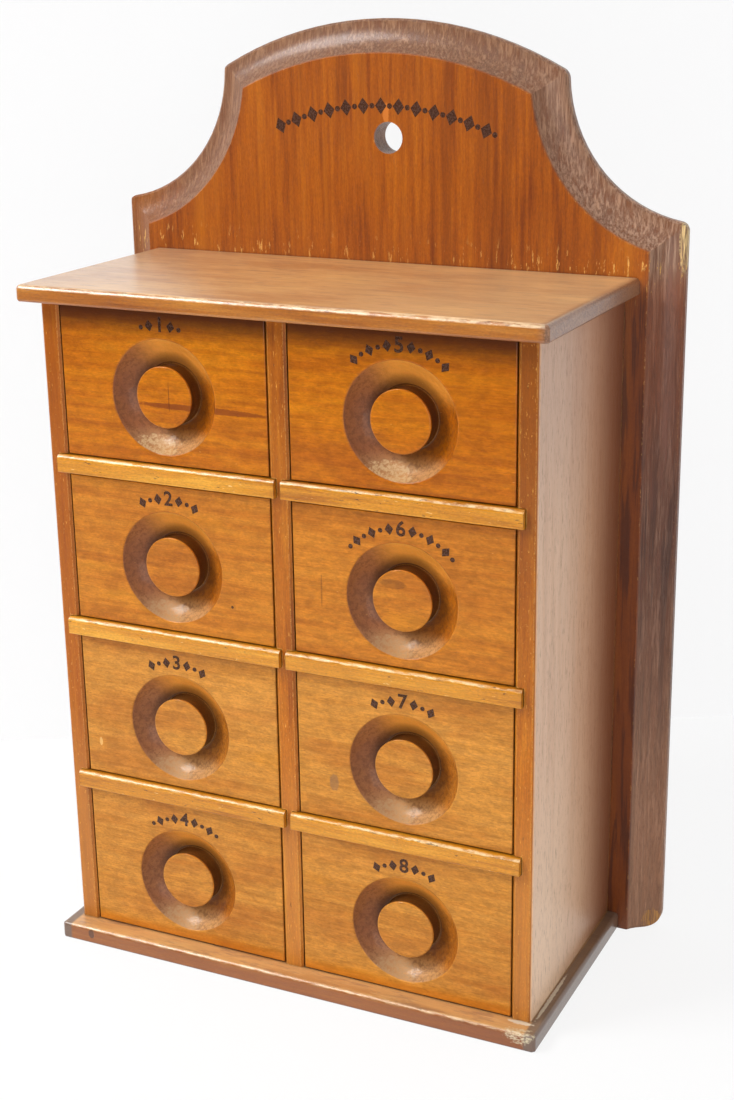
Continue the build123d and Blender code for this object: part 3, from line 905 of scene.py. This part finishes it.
dark_side = (-0.42, -0.87, -0.25)  # direction in which the room is darkest
dark_from = 0.55  # cosines of the angle to that direction, between which the room darkens
dark_to = 0.9
dark_level = 0.02
unseen_level = 0.5  # strength of the room's light where it isn't seen itself


def make_stage():
    """The floor and the backdrop, which meet where they do in the photograph."""
    left = floor_point(0, floor_end_left_pixels)
    right = floor_point(image_width, floor_end_right_pixels)
    along = (right - left).normalized()
    back_left = left - along * stage_reach
    back_right = right + along * stage_reach
    rise = Vector((0, 0, backdrop_height))
    front_left = Vector((back_left.x, floor_front, 0))
    front_right = Vector((back_right.x, floor_front, 0))
    sheets = {
        "floor": (front_left, front_right, back_right, back_left),
        "backdrop": (back_left, back_right, back_right + rise, back_left + rise),
    }
    colours = {"floor": paint(244, 244, 244), "backdrop": paint(240, 240, 242)}
    for name, corners in sheets.items():
        mesh = bpy.data.meshes.new(name)
        mesh.from_pydata([tuple(c) for c in corners], [], [(0, 1, 2, 3)])
        mesh.materials.append(plain(f"{name}_paper", colours[name], paper_glow))
        sheet = bpy.data.objects.new(name, mesh)
        bpy.context.collection.objects.link(sheet)


def make_lamp(name, place, size, power):
    """A square lamp that points at the cabinet."""
    data = bpy.data.lights.new(name, "AREA")
    data.shape = "SQUARE"
    data.size = size
    data.energy = power
    lamp = bpy.data.objects.new(name, data)
    lamp.location = place
    aim = lamp_target - Vector(place)
    lamp.rotation_euler = aim.to_track_quat("-Z", "Y").to_euler()
    bpy.context.collection.objects.link(lamp)


def make_world():
    """A white room, dark on the side that the cabinet faces, as a room is behind a photographer."""
    world = bpy.data.worlds.new("studio")
    world.use_nodes = True
    tree = world.node_tree
    background = tree.nodes["Background"]
    background.inputs["Color"].default_value = (1, 1, 1, 1)
    direction = tree.nodes.new("ShaderNodeTexCoord").outputs["Generated"]
    towards = tree.nodes.new("ShaderNodeVectorMath")
    towards.operation = "DOT_PRODUCT"
    towards.inputs[1].default_value = Vector(dark_side).normalized()
    tree.links.new(direction, towards.inputs[0])
    room = tree.nodes.new("ShaderNodeMapRange")
    room.interpolation_type = "SMOOTHSTEP"
    room.inputs["From Min"].default_value = dark_from
    room.inputs["From Max"].default_value = dark_to
    room.inputs["To Min"].default_value = 1.0
    room.inputs["To Max"].default_value = dark_level
    tree.links.new(towards.outputs["Value"], room.inputs["Value"])
    level = tree.nodes.new("ShaderNodeMapRange")
    level.inputs["To Min"].default_value = unseen_level
    level.inputs["To Max"].default_value = 1.0
    tree.links.new(seen_rays(tree), level.inputs["Value"])
    lit = tree.nodes.new("ShaderNodeMath")
    lit.operation = "MULTIPLY"
    tree.links.new(level.outputs[0], lit.inputs[0])
    tree.links.new(room.outputs[0], lit.inputs[1])
    path = tree.nodes.new("ShaderNodeLightPath")
    shown = tree.nodes.new("ShaderNodeMath")
    shown.operation = "MAXIMUM"
    tree.links.new(lit.outputs[0], shown.inputs[0])
    tree.links.new(path.outputs["Is Camera Ray"], shown.inputs[1])
    tree.links.new(shown.outputs[0], background.inputs["Strength"])
    bpy.context.scene.world = world


# ---- Putting it together -------------------------------------------------------------------------
make_camera()
make_stage()
make_world()
make_lamp("key", place=(-0.9, -0.8, 1.35), size=0.6, power=23.0)
make_lamp("fill", place=(0.6, -1.4, 0.2), size=1.0, power=8.0)

dress("backboard", backboard_finish())
side_wood = side_finish()
for upright in ("side_left", "side_right", "partition"):
    dress(upright, side_wood)
dress("top_board", top_finish())
dress("base_board", base_finish())

shelf_wood = shelf_finish()
for column in columns:
    for level in rows[:-1]:  # a shelf below each row but the lowest
        dress(f"shelf_{column}_{level}", shelf_wood)

iron = iron_finish()
for nails in ("top_nails", "base_nails", "back_nails"):
    dress(nails, iron)

box_wood = inside_finish("drawer_box_wood", "Y", 5.0)
back_wood = inside_finish("drawer_back_wood", "X", 6.0)
ink = ink_finish()
for column in columns:
    for row in rows:
        drawer = f"drawer_{column}_{row}"
        dress(f"{drawer}_sides", box_wood)
        dress(f"{drawer}_bottom", box_wood)
        dress(f"{drawer}_back", back_wood)
        dress(f"{drawer}_brads", iron)
        centre = drawer_front(column, row)
        drawer_stamp(column, row, centre, ink)
crest_stamp(ink)

scene = bpy.context.scene
scene.view_settings.view_transform = "Standard"
